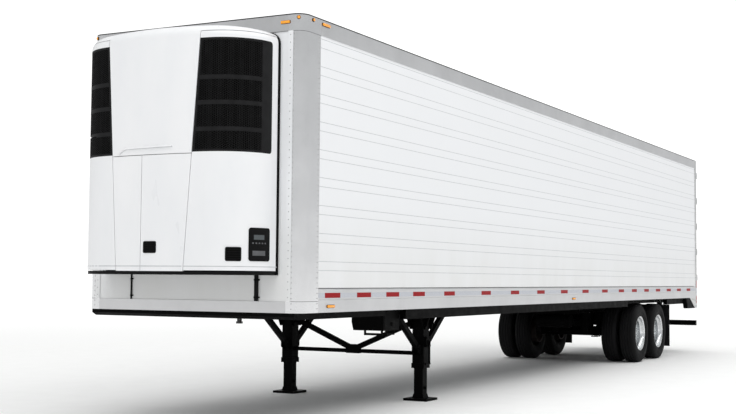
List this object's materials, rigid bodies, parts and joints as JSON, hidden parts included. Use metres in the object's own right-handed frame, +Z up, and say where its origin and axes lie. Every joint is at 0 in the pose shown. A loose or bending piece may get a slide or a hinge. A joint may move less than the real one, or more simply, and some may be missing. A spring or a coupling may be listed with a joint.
{
  "type": "refrigerated van semi-trailer",
  "caption": "Insulated box semi-trailer with a nose-mounted refrigeration unit, swing rear doors, landing gear and a sliding tandem on dual wheels.",
  "frame": {"origin": "on the ground, under the middle of the whole trailer", "axes": "+X forward to the refrigeration unit, +Y to the road side (left), +Z up"},
  "size_m": [16.888, 2.632, 4],
  "materials": {
    "white_skin": "prepainted aluminium skin, satin gloss",
    "rail_metal": "mill-finish extrusion",
    "post_metal": "bright polished extrusion",
    "floor_metal": "ribbed extruded floor",
    "frame_steel": "stainless rear frame",
    "black_steel": "black chassis enamel",
    "pin_steel": "forged and machined",
    "hardware_steel": "zinc-plated",
    "spring_rubber": "matte",
    "flap_rubber": "matte",
    "conduit_rubber": "matte",
    "black_plastic": "moulded, fine grain",
    "unit_white": "moulded composite panels, gloss white",
    "engine_iron": "painted",
    "amber_lens": "moulded lens",
    "red_lens": "moulded lens",
    "tyre_rubber": "matte",
    "wheel_alloy": "polished forging"
  },
  "bodies": {
    "trailer": {"air_springs": "spring_rubber", "air_tanks": "black_steel", "amber_lamps": "amber_lens", "axles": "black_steel", "body_rails": "black_steel", "bottom_rails": "rail_metal", "coupler_plate": "black_steel", "cross_members": "black_steel", "door_fittings": "hardware_steel", "equipment_box": "black_steel", "floor": "floor_metal", "front_conduits": "conduit_rubber", "front_corner_caps": "post_metal", "front_corner_posts": "post_metal", "front_wall": "white_skin", "kingpin": "pin_steel", "landing_gear_braces": "black_steel", "landing_gear_crank": "black_steel", "landing_legs": "black_steel", "mud_flaps": "flap_rubber", "rear_header": "frame_steel", "rear_posts": "frame_steel", "rear_sill": "frame_steel", "red_lamps": "red_lens", "roof": "white_skin", "side_wall_left": "white_skin", "side_wall_right": "white_skin", "slider_frame": "black_steel", "top_rails": "rail_metal", "trailing_arms": "black_steel", "underride_guard": "black_steel", "unit_base": "black_plastic", "unit_bulkhead": "black_plastic", "unit_cap": "unit_white", "unit_engine": "engine_iron", "unit_middle_panels": "unit_white"},
    "rear_door_left": {"door_left": "white_skin", "door_hardware_left": "hardware_steel"},
    "rear_door_right": {"door_right": "white_skin", "door_hardware_right": "hardware_steel"},
    "unit_door_left": {"unit_door_left": "unit_white", "unit_grille_left": "black_plastic", "unit_control_panel": "black_plastic"},
    "unit_door_right": {"unit_door_right": "unit_white", "unit_grille_right": "black_plastic"},
    "dual_front_left": {"tyres_front_left": "tyre_rubber", "wheels_front_left": "wheel_alloy"},
    "dual_front_right": {"tyres_front_right": "tyre_rubber", "wheels_front_right": "wheel_alloy"},
    "dual_rear_left": {"tyres_rear_left": "tyre_rubber", "wheels_rear_left": "wheel_alloy"},
    "dual_rear_right": {"tyres_rear_right": "tyre_rubber", "wheels_rear_right": "wheel_alloy"}
  },
  "joints": [
    {"name": "rear_door_left_hinge", "type": "hinge", "parent": "trailer", "child": "rear_door_left", "pos_m": [-8.432, 1.288, 2.6], "axis": [0, 0, -1], "range_deg": [0, 270]},
    {"name": "rear_door_right_hinge", "type": "hinge", "parent": "trailer", "child": "rear_door_right", "pos_m": [-8.432, -1.288, 2.6], "axis": [0, 0, 1], "range_deg": [0, 270]},
    {"name": "unit_door_left_hinge", "type": "hinge", "parent": "trailer", "child": "unit_door_left", "pos_m": [7.884, 1, 2.6], "axis": [0, 0, 1], "range_deg": [0, 80]},
    {"name": "unit_door_right_hinge", "type": "hinge", "parent": "trailer", "child": "unit_door_right", "pos_m": [7.884, -1, 2.6], "axis": [0, 0, -1], "range_deg": [0, 80]},
    {"name": "dual_front_left_spin", "type": "hinge", "parent": "trailer", "child": "dual_front_left", "pos_m": [-4.116, 0.984, 0.515], "axis": [0, 1, 0], "continuous": true},
    {"name": "dual_front_right_spin", "type": "hinge", "parent": "trailer", "child": "dual_front_right", "pos_m": [-4.116, -0.984, 0.515], "axis": [0, 1, 0], "continuous": true},
    {"name": "dual_rear_left_spin", "type": "hinge", "parent": "trailer", "child": "dual_rear_left", "pos_m": [-5.361, 0.984, 0.515], "axis": [0, 1, 0], "continuous": true},
    {"name": "dual_rear_right_spin", "type": "hinge", "parent": "trailer", "child": "dual_rear_right", "pos_m": [-5.361, -0.984, 0.515], "axis": [0, 1, 0], "continuous": true}
  ]
}
